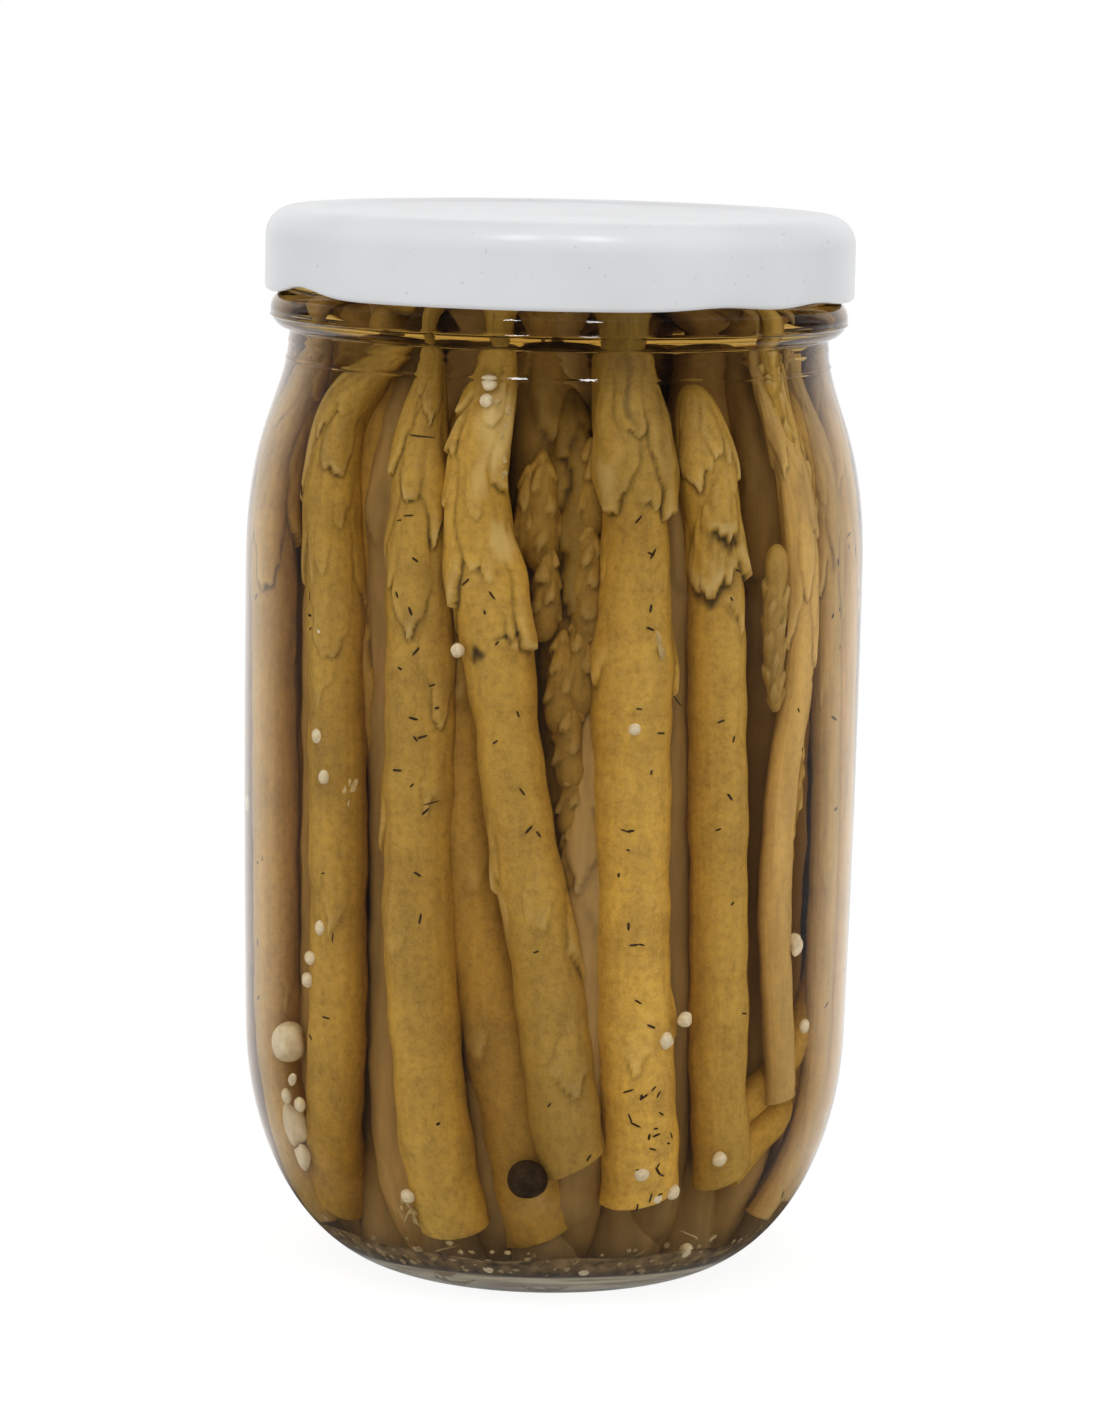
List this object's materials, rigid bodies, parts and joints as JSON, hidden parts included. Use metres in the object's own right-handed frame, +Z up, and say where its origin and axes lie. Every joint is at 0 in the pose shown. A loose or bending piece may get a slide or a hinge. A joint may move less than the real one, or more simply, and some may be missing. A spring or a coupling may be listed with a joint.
{
  "type": "jar of pickled asparagus",
  "caption": "Wide-mouth glass jar of pickled asparagus spears standing in brine with mustard seeds and garlic, shut by a white twist-off metal lid.",
  "frame": {"origin": "centre of the flat ring under the jar, on the surface it stands on", "axes": "+Z up along the jar's axis, -Y towards the front"},
  "size_m": [0.095, 0.095, 0.1636],
  "materials": {
    "glass": "clear, smooth",
    "lid_paint": "white satin enamel",
    "brine": "murky brown brine",
    "asparagus": "wet khaki brown skin, pickled",
    "mustard_seed": "pale tan, wet",
    "garlic": "pale cream, wet",
    "peppercorn": "dark brown, wrinkled",
    "herbs": "dark flecks and pale sediment"
  },
  "bodies": {
    "root": {"glass_jar": "glass", "lid": "lid_paint", "brine": "brine"}
  },
  "joints": []
}
